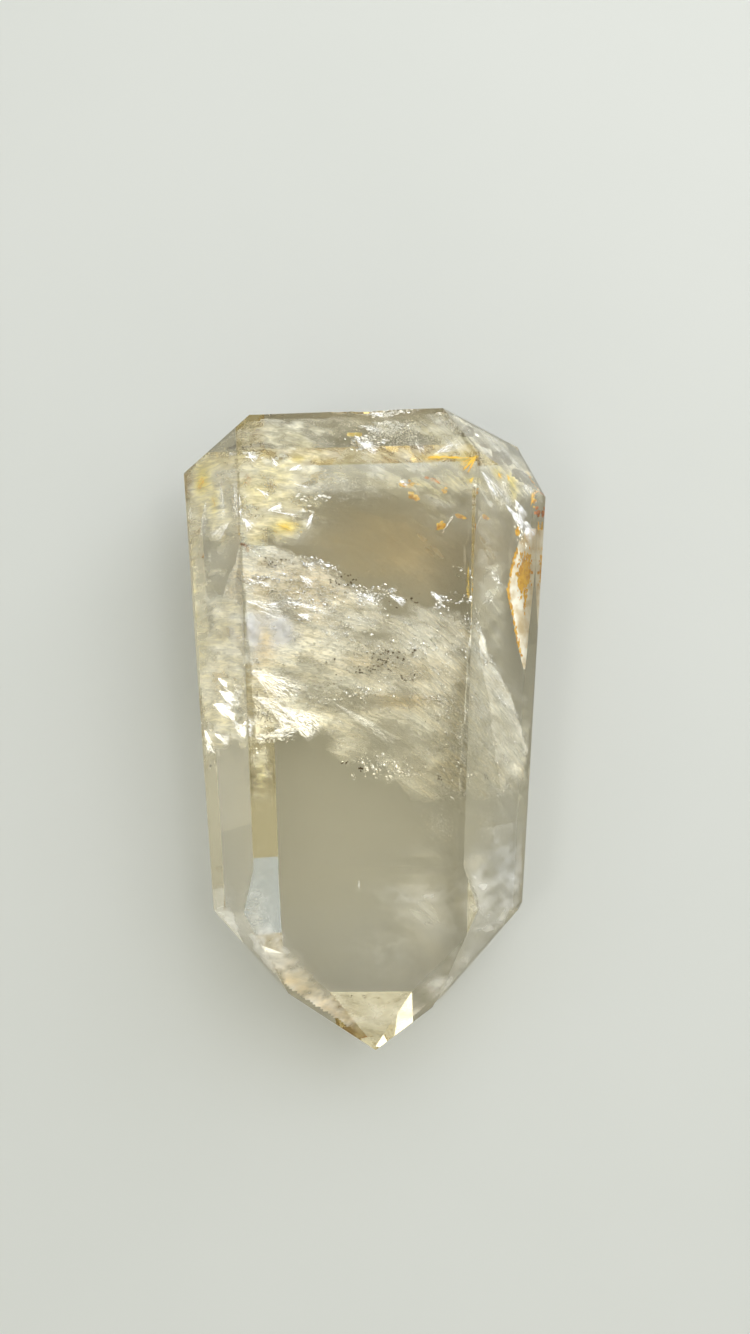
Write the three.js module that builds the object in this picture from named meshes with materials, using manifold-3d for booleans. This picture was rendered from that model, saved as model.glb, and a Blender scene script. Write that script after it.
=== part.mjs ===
import * as THREE from 'three';
import { ConvexGeometry } from 'three/addons/geometries/ConvexGeometry.js';
import { mergeVertices } from 'three/addons/utils/BufferGeometryUtils.js';
import Module from 'manifold-3d';

// A clear quartz point, grown as one stone and polished on every face.
// It lies on its widest face with the tip toward -Y and the base end toward +Y.
// Millimetres, +Z up. The origin is on the table, under the middle of the stone.

// Height of the heart of the stone above the face that it rests on.
const HEART_HEIGHT = 15;

// Every face is a plane. turn: the way it looks around the length of the stone,
// 0 is up, 90 is to the right, 180 is down. lean: how far it looks toward the tip,
// below zero toward the base end. reach: its distance from the heart.
const PRISM_FACES = {
  top: { turn: -2.1, lean: 5.8, reach: 17.0 },
  upperLeft: { turn: -61.2, lean: 4.4, reach: 24.45 },
  upperRight: { turn: 53.4, lean: 4.8, reach: 21.55 },
  lowerLeft: { turn: -127.7, lean: 1.4, reach: 21.8 },
  lowerRight: { turn: 117.9, lean: 0.6, reach: 20.7 },
  resting: { turn: 180, lean: 0, reach: HEART_HEIGHT },
};

// Three large faces meet at the tip, and three small ones stop short of it.
const TIP_FACES = {
  largeTop: { turn: -1.6, lean: 31.2, reach: 27.35 },
  largeLeft: { turn: -117.5, lean: 42.5, reach: 43.0 },
  largeRight: { turn: 113.4, lean: 37.8, reach: 39.19 },
  smallLeft: { turn: -57.6, lean: 35.0, reach: 38.9 },
  smallRight: { turn: 49.6, lean: 34.3, reach: 35.8 },
  smallBottom: { turn: 179.3, lean: 36.2, reach: 41.09 },
};

// The base end is cut across and leans under a little, with a worn bevel along its foot.
// Its left corner has one bevel, and its worn right corner has two.
const BASE_FACES = {
  end: { turn: -167.8, lean: -83.3, reach: 34.2 },
  lowerEnd: { turn: -178.9, lean: -37.1, reach: 29.52 },
  leftBevel: { turn: -75.7, lean: -47.3, reach: 41.95 },
  rightBevel: { turn: 65.3, lean: -36.2, reach: 36.2 },
  wornBevel: { turn: 63.3, lean: -42.7, reach: 39.0 },
};

// Shell-shaped chips on edges. along: from the left end of the edge, 0 to 1.
// radius: of the hollow. bite: how deep it goes.
const CHIPS = [
  { edge: ['top', 'end'], along: 0.47, radius: 4.0, bite: 0.3 },
  { edge: ['top', 'end'], along: 0.6, radius: 5.5, bite: 0.55 },
  { edge: ['top', 'end'], along: 0.68, radius: 2.6, bite: 0.35 },
  { edge: ['largeRight', 'smallRight'], along: 0.03, radius: 1.8, bite: 0.35 },
];
const CHIP_SEGMENTS = { around: 32, down: 20 };

const COLOUR = '#b8b29b';
const ROUGHNESS = 0.04;

const DEGREE = Math.PI / 180;
// A corner nearer than this to a plane lies on it.
const TOLERANCE = 1e-6;

const wasm = await Module();
wasm.setup();

function facePlane({ turn, lean, reach }) {
  const flat = Math.cos(lean * DEGREE);
  const normal = new THREE.Vector3(
    Math.sin(turn * DEGREE) * flat,
    -Math.sin(lean * DEGREE),
    Math.cos(turn * DEGREE) * flat,
  );
  return new THREE.Plane(normal, -reach);
}

function meetingPoint(a, b, c) {
  const normals = new THREE.Matrix3().set(
    a.normal.x, a.normal.y, a.normal.z,
    b.normal.x, b.normal.y, b.normal.z,
    c.normal.x, c.normal.y, c.normal.z,
  );
  if (Math.abs(normals.determinant()) < TOLERANCE) return null;
  const reaches = new THREE.Vector3(-a.constant, -b.constant, -c.constant);
  return reaches.applyMatrix3(normals.invert());
}

// The corners of the stone are the points where three faces meet behind all others.
function stoneCorners(planes) {
  const isInside = (point) => planes.every((plane) => plane.distanceToPoint(point) < TOLERANCE);
  const corners = [];
  planes.forEach((a, i) => {
    planes.slice(i + 1).forEach((b, j) => {
      planes.slice(i + j + 2).forEach((c) => {
        const point = meetingPoint(a, b, c);
        if (point && isInside(point)) corners.push(point);
      });
    });
  });
  return corners;
}

function toSolid(geometry) {
  const bare = geometry.clone();
  bare.deleteAttribute('normal');
  bare.deleteAttribute('uv');
  const merged = mergeVertices(bare);
  return new wasm.Manifold(new wasm.Mesh({
    numProp: 3,
    vertProperties: new Float32Array(merged.attributes.position.array),
    triVerts: new Uint32Array(merged.index.array),
  }));
}

function toGeometry(solid) {
  const { vertProperties, triVerts } = solid.getMesh();
  const geometry = new THREE.BufferGeometry();
  geometry.setAttribute('position', new THREE.BufferAttribute(vertProperties, 3));
  geometry.setIndex(new THREE.BufferAttribute(triVerts, 1));
  return geometry;
}

// A ball that bites into the edge between two faces, halfway between their directions.
function chipBall({ edge, along, radius, bite }, faces, corners) {
  const [a, b] = edge.map((name) => faces[name]);
  const isOnEdge = (point) => [a, b].every((plane) => Math.abs(plane.distanceToPoint(point)) < TOLERANCE);
  const [left, right] = corners.filter(isOnEdge).sort((p, q) => p.x - q.x);
  const outward = a.normal.clone().add(b.normal).normalize();
  const centre = left.clone().lerp(right, along).addScaledVector(outward, radius - bite);
  const ball = new THREE.SphereGeometry(radius, CHIP_SEGMENTS.around, CHIP_SEGMENTS.down);
  return ball.translate(centre.x, centre.y, centre.z);
}

function standOnTable(geometry) {
  geometry.computeBoundingBox();
  const { min, max } = geometry.boundingBox;
  return geometry.translate(-(min.x + max.x) / 2, -(min.y + max.y) / 2, -min.z);
}

function stoneGeometry() {
  const faces = {};
  Object.entries({ ...PRISM_FACES, ...TIP_FACES, ...BASE_FACES }).forEach(([name, face]) => {
    faces[name] = facePlane(face);
  });
  const corners = stoneCorners(Object.values(faces));
  const whole = toSolid(new ConvexGeometry(corners));
  const chipped = CHIPS.reduce(
    (solid, chip) => solid.subtract(toSolid(chipBall(chip, faces, corners))),
    whole,
  );
  return standOnTable(toGeometry(chipped));
}

const quartz = new THREE.Mesh(
  stoneGeometry(),
  new THREE.MeshStandardMaterial({ color: COLOUR, roughness: ROUGHNESS, metalness: 0 }),
);
quartz.name = 'quartz_crystal';

const crystal = new THREE.Group();
crystal.add(quartz);

export default crystal;
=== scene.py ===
"""A polished clear quartz crystal with white veils and iron stains, lying on pale paper.

Lengths are in millimetres in this script, and turn to metres where they enter Blender.
"""
import math

import bpy
import numpy as np
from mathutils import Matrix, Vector, noise
from mathutils.bvhtree import BVHTree


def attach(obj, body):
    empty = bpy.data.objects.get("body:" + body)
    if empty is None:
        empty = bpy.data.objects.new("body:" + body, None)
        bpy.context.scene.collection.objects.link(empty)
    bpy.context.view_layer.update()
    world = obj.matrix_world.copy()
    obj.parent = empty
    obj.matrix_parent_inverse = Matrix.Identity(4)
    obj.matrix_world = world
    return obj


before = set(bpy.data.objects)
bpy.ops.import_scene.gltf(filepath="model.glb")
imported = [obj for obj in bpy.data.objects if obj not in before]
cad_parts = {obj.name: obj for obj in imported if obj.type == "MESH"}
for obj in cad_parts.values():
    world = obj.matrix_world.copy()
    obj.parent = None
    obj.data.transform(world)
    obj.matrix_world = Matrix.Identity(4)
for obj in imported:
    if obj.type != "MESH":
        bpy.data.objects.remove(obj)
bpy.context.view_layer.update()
MM = 0.001


# Camera: a phone held level above the paper, looking straight down, with the stone's tip
# towards the lower edge of the picture.
PHOTO_HEIGHT_PX = 1334
FOCAL_LENGTH_PX = 1600
SENSOR_HEIGHT = 36.0
CAMERA_PLACE = (1.77, 12.04, 265.5)

camera_data = bpy.data.cameras.new("phone_camera")
camera_data.sensor_fit = "VERTICAL"
camera_data.sensor_height = SENSOR_HEIGHT
camera_data.lens = SENSOR_HEIGHT * FOCAL_LENGTH_PX / PHOTO_HEIGHT_PX
camera = bpy.data.objects.new("phone_camera", camera_data)
camera.location = Vector(CAMERA_PLACE) * MM
bpy.context.scene.collection.objects.link(camera)
bpy.context.scene.camera = camera


# Light: a pale room with a brighter, cooler side, a wide window that throws the broad shadow
# on the left, a high lamp and a small left one that light up the gas films in the stone, and
# a blue gleam that only shows in the faces near the tip.
def linear(hex_colour):
    """Turns an sRGB hex colour into the linear colour that the nodes take."""
    shares = [int(hex_colour[k:k + 2], 16) / 255 for k in (1, 3, 5)]
    return [s / 12.92 if s <= 0.04045 else ((s + 0.055) / 1.055) ** 2.4 for s in shares] + [1.0]


def add_node(tree, kind, values=None, links=None, **settings):
    """Adds one node with its settings, its sockets' values and its links."""
    node = tree.nodes.new(kind)
    for name, value in settings.items():
        setattr(node, name, value)
    for socket, value in (values or {}).items():
        node.inputs[socket].default_value = value
    for socket, source in (links or {}).items():
        tree.links.new(source, node.inputs[socket])
    return node


def heading_to(azimuth, elevation):
    """The direction at an azimuth from +X and an elevation, in degrees."""
    a, e = math.radians(azimuth), math.radians(elevation)
    return Vector((math.cos(a) * math.cos(e), math.sin(a) * math.cos(e), math.sin(e)))


BRIGHT_SIDE = heading_to(75, 15)
BRIGHT_SIDE_COLOUR = "#EFF7FF"
DIM_SIDE_COLOUR = "#BFBFB0"
WINDOWS = {
    "wide_window": {"azimuth": 60, "elevation": 34, "distance": 550.0, "size": 430.0,
                    "glow": 1.9, "colour": "#F2F6FF"},
    "high_lamp": {"azimuth": 22, "elevation": 62, "distance": 600.0, "size": 300.0,
                  "glow": 1.9, "colour": "#FFFFFF"},
    "left_lamp": {"azimuth": 200, "elevation": 66, "distance": 1000.0, "size": 200.0,
                  "glow": 6.0, "colour": "#FFFFFF"},
    "blue_gleam": {"azimuth": 143, "elevation": 48, "distance": 1500.0, "size": 480.0,
                   "glow": 0.45, "colour": "#3F95FF"},
}

room = bpy.data.worlds.new("pale_room")
room.use_nodes = True
tree = room.node_tree
direction = add_node(tree, "ShaderNodeTexCoord").outputs["Generated"]
facing = add_node(tree, "ShaderNodeVectorMath", {1: BRIGHT_SIDE}, {0: direction},
                  operation="DOT_PRODUCT")
share = add_node(tree, "ShaderNodeMapRange", {"From Min": 0.3, "From Max": 1.0},
                 {"Value": facing.outputs["Value"]}, interpolation_type="SMOOTHSTEP")
tone = add_node(tree, "ShaderNodeMix", {"A": linear(DIM_SIDE_COLOUR), "B": linear(BRIGHT_SIDE_COLOUR)},
                {"Factor": share.outputs["Result"]}, data_type="RGBA")
tree.links.new(tone.outputs["Result"], tree.nodes["Background"].inputs["Color"])
bpy.context.scene.world = room
bpy.context.scene.view_settings.view_transform = "Standard"

for name, look in WINDOWS.items():
    light = bpy.data.lights.new(name, "AREA")
    light.size = look["size"] * MM
    light.energy = look["glow"] * math.pi * light.size ** 2
    light.color = linear(look["colour"])[:3]
    window = bpy.data.objects.new(name, light)
    towards = heading_to(look["azimuth"], look["elevation"])
    window.location = towards * look["distance"] * MM
    window.rotation_euler = (-towards).to_track_quat("-Z", "Y").to_euler()
    bpy.context.scene.collection.objects.link(window)

# A sight line is thrown to and fro many times between the polished faces before it gets out.
bpy.context.scene.cycles.max_bounces = 32
bpy.context.scene.cycles.glossy_bounces = 24
bpy.context.scene.cycles.transmission_bounces = 24
bpy.context.scene.cycles.transparent_max_bounces = 64


# Paper: a large sheet of uncoated white paper under the stone. It isn't part of the stone.
PAPER_SIZE = 3000.0
PAPER_DROP = 0.02
PAPER_LIGHT = "#E3E3DF"
PAPER_DARK = "#DDDED9"
PAPER_MOTTLE = 60.0
PAPER_FIBRE = 0.5

# Uncoated paper: matt, with faint cloudy tone and a fine tooth of fibres.
uncoated_paper = bpy.data.materials.new("uncoated_paper")
uncoated_paper.use_nodes = True
tree = uncoated_paper.node_tree
surface = tree.nodes["Principled BSDF"]
surface.inputs["Roughness"].default_value = 0.9
place = add_node(tree, "ShaderNodeTexCoord").outputs["Object"]
mottle = add_node(tree, "ShaderNodeTexNoise", {"Scale": 1 / (PAPER_MOTTLE * MM), "Detail": 3.0},
                  {"Vector": place})
tone = add_node(tree, "ShaderNodeMix", {"A": linear(PAPER_LIGHT), "B": linear(PAPER_DARK)},
                {"Factor": mottle.outputs["Fac"]}, data_type="RGBA")
tree.links.new(tone.outputs["Result"], surface.inputs["Base Color"])
fibre = add_node(tree, "ShaderNodeTexNoise", {"Scale": 1 / (PAPER_FIBRE * MM), "Detail": 4.0},
                 {"Vector": place})
tooth = add_node(tree, "ShaderNodeBump", {"Strength": 0.15, "Distance": 0.05 * MM},
                 {"Height": fibre.outputs["Fac"]})
tree.links.new(tooth.outputs["Normal"], surface.inputs["Normal"])

half = PAPER_SIZE / 2 * MM
paper_mesh = bpy.data.meshes.new("paper")
paper_mesh.from_pydata([(-half, -half, 0), (half, -half, 0), (half, half, 0), (-half, half, 0)],
                       [], [(0, 1, 2, 3)])
paper_mesh.materials.append(uncoated_paper)
paper = bpy.data.objects.new("paper", paper_mesh)
paper.location.z = -PAPER_DROP * MM
bpy.context.scene.collection.objects.link(paper)


# The stone: one quartz crystal, sawn at the base and ground and polished to flat faces.
# Its body is the CAD solid, with each edge rounded a little as a polishing wheel leaves it.
EDGE_ROUNDING = 0.16
SHARP_EDGE_ANGLE = 12.0
# The share of red, green and blue light that the body lets pass, as linear values.
BODY_TINT = (0.84, 0.69, 0.20, 1.0)
BODY_DENSITY = 10.0
QUARTZ_IOR = 1.544

# Smoky-citrine quartz: clear, with a pale brownish yellow that deepens through the body.
clear_quartz = bpy.data.materials.new("polished_clear_quartz")
clear_quartz.use_nodes = True
tree = clear_quartz.node_tree
surface = tree.nodes["Principled BSDF"]
surface.inputs["Base Color"].default_value = (1, 1, 1, 1)
surface.inputs["Transmission Weight"].default_value = 1.0
surface.inputs["IOR"].default_value = QUARTZ_IOR
surface.inputs["Roughness"].default_value = 0.0
body = add_node(tree, "ShaderNodeVolumeAbsorption", {"Color": BODY_TINT, "Density": BODY_DENSITY})
tree.links.new(body.outputs["Volume"], tree.nodes["Material Output"].inputs["Volume"])

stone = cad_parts["quartz_crystal"]
stone.data.materials.clear()
stone.data.materials.append(clear_quartz)
flat_faces = bpy.data.node_groups.new("flat_faces", "GeometryNodeTree")
flat_faces.interface.new_socket("Geometry", in_out="INPUT", socket_type="NodeSocketGeometry")
flat_faces.interface.new_socket("Geometry", in_out="OUTPUT", socket_type="NodeSocketGeometry")
given = add_node(flat_faces, "NodeGroupInput")
plain = add_node(flat_faces, "GeometryNodeRemoveAttribute", {"Name": "custom_normal"},
                 {"Geometry": given.outputs[0]})
flat = add_node(flat_faces, "GeometryNodeSetShadeSmooth", {"Shade Smooth": False},
                {"Geometry": plain.outputs[0]})
add_node(flat_faces, "NodeGroupOutput", links={"Geometry": flat.outputs[0]})
stone.modifiers.new("flat_faces", "NODES").node_group = flat_faces
stone.modifiers.new("weld", "WELD").merge_threshold = 0.001 * MM
merge = stone.modifiers.new("whole_faces", "DECIMATE")
merge.decimate_type = "DISSOLVE"
merge.angle_limit = math.radians(0.5)
rounding = stone.modifiers.new("polished_edges", "BEVEL")
rounding.width = EDGE_ROUNDING * MM
rounding.segments = 2
rounding.limit_method = "ANGLE"
rounding.angle_limit = math.radians(SHARP_EDGE_ANGLE)


# The main veil: a fracture that healed while the crystal grew. It crosses the whole body,
# high at the base end and low towards the tip, and holds countless tiny gas-filled pockets
# that look like white and cream wisps.
INSIDE_MARGIN = 0.35
stone_shape = BVHTree.FromPolygons([v.co.copy() for v in stone.data.vertices],
                                   [tuple(p.vertices) for p in stone.data.polygons])


def inside(points):
    """Which of the points, in mm, lie within the stone and clear of its surface."""
    kept = np.zeros(len(points), bool)
    for k, point in enumerate(points):
        spot = Vector(point) * MM
        nearest, normal, _, distance = stone_shape.find_nearest(spot)
        kept[k] = distance > INSIDE_MARGIN * MM and (spot - nearest).dot(normal) < 0
    return kept


def unit(vectors):
    return vectors / np.linalg.norm(vectors, axis=1, keepdims=True)


def lay_flakes(name, centres, headings, facing, length, width, corners, material):
    """Joins one thin, uneven flake per centre into one mesh that rides with the stone."""
    count = len(centres)
    angle = np.radians(headings)
    along = np.column_stack([np.cos(angle), np.sin(angle), np.zeros(count)])
    along = unit(along - (along * facing).sum(1, keepdims=True) * facing)
    across = np.cross(facing, along)
    turn = (np.arange(corners) + rng.uniform(-0.3, 0.3, (count, corners))) * math.tau / corners
    reach = rng.uniform(0.25, 0.5, (count, corners))
    points = (centres[:, None]
              + (np.cos(turn) * reach * length[:, None])[..., None] * along[:, None]
              + (np.sin(turn) * reach * width[:, None])[..., None] * across[:, None])
    mesh = bpy.data.meshes.new(name)
    mesh.from_pydata(points.reshape(-1, 3) * MM, [],
                     np.arange(count * corners).reshape(-1, corners))
    mesh.materials.append(material)
    piece = bpy.data.objects.new(name, mesh)
    bpy.context.scene.collection.objects.link(piece)
    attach(piece, "root")


def wisps(points, long_step, short_step, heading, seed):
    """Noise of about -1 to 1 that runs in threads along a heading, one value for each point."""
    c, s = math.cos(math.radians(heading)), math.sin(math.radians(heading))
    values = np.empty(len(points))
    for k, (x, y) in enumerate(points[:, :2]):
        spot = Vector(((x * c + y * s) / long_step, (y * c - x * s) / short_step, seed))
        values[k] = noise.fractal(spot, 0.9, 2.0, 4)
    return values


def gas_film(name, tint, second_tint, patch, smooth, rough):
    """A film that throws light back: gas in a crack, or the iron oxide that dried in one."""
    film = bpy.data.materials.new(name)
    film.use_nodes = True
    tree = film.node_tree
    surface = tree.nodes["Principled BSDF"]
    surface.inputs["Metallic"].default_value = 1.0
    place = add_node(tree, "ShaderNodeTexCoord").outputs["Object"]
    cloud = add_node(tree, "ShaderNodeTexNoise", {"Scale": 1 / (patch * MM), "Detail": 3.0},
                     {"Vector": place})
    share = add_node(tree, "ShaderNodeMapRange", {"From Min": 0.4, "From Max": 0.65},
                     {"Value": cloud.outputs["Fac"]})
    tone = add_node(tree, "ShaderNodeMix", {"A": linear(tint), "B": linear(second_tint)},
                    {"Factor": share.outputs["Result"]}, data_type="RGBA")
    tree.links.new(tone.outputs["Result"], surface.inputs["Base Color"])
    haze = add_node(tree, "ShaderNodeMapRange", {"To Min": smooth, "To Max": rough},
                    {"Value": cloud.outputs["Fac"]})
    tree.links.new(haze.outputs["Result"], surface.inputs["Roughness"])
    return film


def lay_film(name, points, quads, milk, rust, flow, material, sheen=0.08):
    """Makes one thin film of the quads that lie wholly inside the stone."""
    quads = quads[inside(points)[quads].all(axis=1)]
    used, quads = np.unique(quads, return_inverse=True)
    mesh = bpy.data.meshes.new(name)
    mesh.from_pydata(points[used] * MM, [], quads.reshape(-1, 4))
    for title, values in (("milk", milk), ("rust", rust)):
        mesh.attributes.new(title, "FLOAT", "POINT").data.foreach_set("value", values[used])
    streams = mesh.attributes.new("flow", "FLOAT_VECTOR", "POINT")
    streams.data.foreach_set("vector", flow[used].ravel())
    mesh.normals_split_custom_set_from_vertices(gleaming(points[used], 0.0, sheen))
    mesh.materials.append(material)
    piece = bpy.data.objects.new(name, mesh)
    bpy.context.scene.collection.objects.link(piece)
    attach(piece, "root")


def film_sheet(name, low, high, step, height, cover, stain, material):
    """Lays one curved film, with its milkiness and its stain at each place."""
    xs = np.arange(low[0], high[0] + step, step)
    ys = np.arange(low[1], high[1] + step, step)
    spots = np.array([(x, y) for y in ys for x in xs])
    row, column = np.indices((len(ys) - 1, len(xs) - 1)).reshape(2, -1)
    corner = row * len(xs) + column
    quads = np.column_stack([corner, corner + 1, corner + 1 + len(xs), corner + len(xs)])
    slope = np.interp(spots[:, 0], FLOW_X, FLOW_Y)
    flow = np.column_stack([spots[:, 0] / FLOW_STRETCH, spots[:, 1] - slope, np.zeros(len(spots))])
    lay_film(name, height(spots), quads, cover(spots), stain(spots), flow, material)


def plumes(name, fans, height, material):
    """Joins fans of film into one mesh: each is dense at its root and feathery at its fringe."""
    reach, turn = np.meshgrid(np.linspace(PLUME_ROOT, 1, PLUME_RINGS),
                              np.linspace(-1, 1, PLUME_RAYS), indexing="ij")
    reach, turn = reach.ravel(), turn.ravel()
    row, column = np.indices((PLUME_RINGS - 1, PLUME_RAYS - 1)).reshape(2, -1)
    corner = row * PLUME_RAYS + column
    cell = np.column_stack([corner, corner + PLUME_RAYS, corner + 1 + PLUME_RAYS, corner + 1])
    spots, quads, milk, flow = [], [], [], []
    for k, (x, y, heading, length, half_angle, weight) in enumerate(fans):
        way = np.radians(heading + half_angle * turn)
        spots.append(np.column_stack([x + length * reach * np.cos(way),
                                      y + length * reach * np.sin(way)]))
        quads.append(cell + k * len(reach))
        milk.append(weight * (1 - reach ** 2) * (1 - turn ** 2))
        flow.append(np.column_stack([length * reach / PLUME_STRETCH,
                                     length * np.radians(half_angle) * turn,
                                     np.full(len(reach), k)]))
    milk = np.concatenate(milk)
    lay_film(name, height(np.concatenate(spots)), np.concatenate(quads), milk, np.zeros(len(milk)),
             np.concatenate(flow), material, PLUME_SHEEN)


def milky_film(name, tint, second_tint, rust_tint, grain, thin, thick, ripples=0.4, rough=0.3):
    """A film that is clear between its gas pockets, and milky or stained where they crowd."""
    film = bpy.data.materials.new(name)
    film.use_nodes = True
    tree = film.node_tree
    surface = tree.nodes["Principled BSDF"]
    surface.inputs["Metallic"].default_value = 1.0
    surface.inputs["Roughness"].default_value = rough
    flow = add_node(tree, "ShaderNodeAttribute", attribute_name="flow").outputs["Vector"]
    milk = add_node(tree, "ShaderNodeAttribute", attribute_name="milk").outputs["Fac"]
    rust = add_node(tree, "ShaderNodeAttribute", attribute_name="rust").outputs["Fac"]
    streak = add_node(tree, "ShaderNodeTexNoise",
                      {"Scale": 1 / grain, "Detail": 7.0, "Roughness": 0.68, "Distortion": 0.6},
                      {"Vector": flow})
    share = add_node(tree, "ShaderNodeMapRange",
                     {"From Min": 0.38, "From Max": 0.68, "To Min": thin, "To Max": thick},
                     {"Value": streak.outputs["Fac"]}, interpolation_type="SMOOTHSTEP")
    alpha = add_node(tree, "ShaderNodeMath", links={0: share.outputs["Result"], 1: milk},
                     operation="MULTIPLY", use_clamp=True)
    tree.links.new(alpha.outputs["Value"], surface.inputs["Alpha"])
    cloud = add_node(tree, "ShaderNodeTexNoise", {"Scale": 1 / (4 * grain), "Detail": 4.0},
                     {"Vector": flow})
    pale = add_node(tree, "ShaderNodeMapRange", {"From Min": 0.4, "From Max": 0.6},
                    {"Value": cloud.outputs["Fac"]})
    tone = add_node(tree, "ShaderNodeMix", {"A": linear(tint), "B": linear(second_tint)},
                    {"Factor": pale.outputs["Result"]}, data_type="RGBA")
    stained = add_node(tree, "ShaderNodeMix", {"B": linear(rust_tint)},
                       {"Factor": rust, "A": tone.outputs["Result"]}, data_type="RGBA")
    tree.links.new(stained.outputs["Result"], surface.inputs["Base Color"])
    ripple = add_node(tree, "ShaderNodeBump", {"Strength": ripples, "Distance": 0.05 * MM},
                      {"Height": streak.outputs["Fac"]})
    tree.links.new(ripple.outputs["Normal"], surface.inputs["Normal"])
    return film


# Milky gas pockets: so small that they only look like white and cream dust.
milky_pockets = gas_film("milky_gas_pockets", "#FFFFFF", "#F6F0DC", 3.0, 0.25, 0.45)
# Mirror gas films: larger and flatter, so that those that face the window sparkle.
mirror_films = gas_film("mirror_gas_films", "#FFFFFF", "#FAF6EA", 1.0, 0.15, 0.35)

# The veil's upper and lower edge, as Y over X, and the heading of its streaks over X.
VEIL_TOP = [(-30, 30.8), (-14, 30.3), (-9.8, 29.4), (-4.8, 26.1), (0.3, 23.3), (5.5, 21.2),
            (11.3, 21.0), (14.0, 20.6), (16.0, 18.0), (18.5, 13.0), (22.0, 8.0), (24.5, 0.0)]
VEIL_FOOT = [(-30, -1.0), (-17.5, 0.0), (-11.2, 2.1), (-6.5, 1.6), (-2.6, -2.6), (6.0, -6.5),
             (12.3, -8.9), (15, -9.2), (30, -6.0)]
VEIL_HEADING = [(-20, -3), (-8, -10), (4, -24), (16, -45)]
# Clear gaps in the veil, and banks where its pockets crowd, or thin out where the weight is
# below nought: X, Y, half width, half height, weight.
VEIL_GAPS = [(5.0, 20.6, 2.2, 1.0, 1.0), (2.0, 17.0, 3.5, 1.0, 0.8), (-4.0, 6.5, 5.0, 1.3, 0.7),
             (3.0, 7.4, 3.0, 1.2, 0.5)]
VEIL_BANKS = [(-12.0, 4.5, 6.0, 2.6, 1.5), (-18.5, 2.5, 3.0, 4.0, 0.9),
              (-12.0, 26.0, 8.0, 1.0, 0.7), (3.0, 22.3, 6.0, 0.8, 0.8), (-6.0, 15.0, 6.0, 2.5, 0.4),
              (-9.0, 21.5, 7.0, 0.7, 0.6), (17.5, 14.0, 3.0, 5.0, 0.6),
              (-15.5, 13.0, 3.5, 6.0, 0.5), (-20.0, 10.0, 2.0, 6.0, 0.4),
              (3.0, 15.0, 8.5, 6.0, -0.5), (5.0, 0.5, 9.0, 6.0, -0.72), (-6.0, 9.0, 4.0, 4.0, -0.3),
              (19.5, 4.0, 3.5, 8.0, -0.45)]
# Feathers of threads: X, Y, half width, half height, downward slant, number.
VEIL_FEATHERS = [(-10.5, 5.0, 3.3, 1.4, 36, 70), (-13.5, 1.9, 3.0, 0.7, 20, 45),
                 (-14.6, 6.2, 2.4, 2.4, 60, 60), (-17.9, -0.1, 1.6, 1.6, 30, 30),
                 (-18.5, 3.0, 1.5, 2.0, 60, 30), (-6.6, 27.4, 2.6, 0.7, 38, 34),
                 (-14.8, 25.0, 4.0, 0.4, 4, 34), (-8.0, 21.6, 4.5, 0.5, 4, 36),
                 (-8.8, 19.7, 1.0, 0.4, 10, 16), (2.4, 22.8, 3.6, 1.1, 30, 60),
                 (11.2, 22.0, 1.2, 1.2, 35, 18), (2.0, 9.0, 5.0, 1.2, 30, 26),
                 (4.0, -2.5, 5.0, 1.6, 47, 50), (9.0, 15.0, 4.0, 2.0, 45, 30),
                 (15.5, 17.0, 1.0, 2.5, 60, 24), (14.0, 2.0, 2.0, 5.0, 60, 16)]
DUST_TRIES = 400000
THREAD_TRIES = 2500
THREAD_STEP = 0.13
# What is strewn round a place scatters by this share of the patch's half size.
SCATTER = 0.55
# A fan of film: its rings and rays, where its film begins as a share of its length, how far
# its streaks are drawn out, and how much its facing wanders.
PLUME_RINGS = 18
PLUME_RAYS = 14
PLUME_ROOT = 0.05
PLUME_STRETCH = 6.0
PLUME_SHEEN = 0.04
# The streaks in the veil run along its heading, and are drawn out by this factor.
FLOW_STRETCH = 3.5
FLOW_X = np.arange(-30, 31)
FLOW_Y = np.cumsum(np.tan(np.radians(np.interp(FLOW_X, *np.array(VEIL_HEADING).T))))
# Brown and yellow iron in the veil: X, Y, half width, half height, weight.
VEIL_RUST = [(6.0, 7.4, 5.0, 1.2, 0.7), (-14.8, 15.6, 1.6, 2.6, 0.5), (0.5, 13.4, 4.0, 1.4, 0.35),
             (-8.0, 24.0, 7.0, 4.0, 0.4), (8.0, 12.0, 4.0, 2.0, 0.3), (-19.0, 18.0, 2.5, 12.0, 0.3)]

# A place on the veil, how steeply it rises along X and along Y, and how deep its folds are.
VEIL_PLACE = (15.4, 20.7, 31.5)
VEIL_RISE = (0.2126, 0.8506)
VEIL_FOLDS = 1.2

rng = np.random.default_rng(11)


def spread(points, spots):
    """How strongly the listed round spots cover each point."""
    cover = np.zeros(len(points))
    for x, y, wide, high, weight in spots:
        cover += weight * np.exp(-((points[:, 0] - x) / wide) ** 2
                                 - ((points[:, 1] - y) / high) ** 2)
    return cover


def on_veil(spots, thickness):
    """Lifts flat places on to the veil's sloping, gently folded surface."""
    folds = wisps(spots, 9.0, 6.0, -15, 3.1)
    z = (VEIL_PLACE[2] + VEIL_RISE[0] * (spots[:, 0] - VEIL_PLACE[0])
         + VEIL_RISE[1] * (spots[:, 1] - VEIL_PLACE[1])
         + VEIL_FOLDS * folds + rng.normal(0, thickness, len(spots)))
    return np.column_stack([spots, z])


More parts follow.
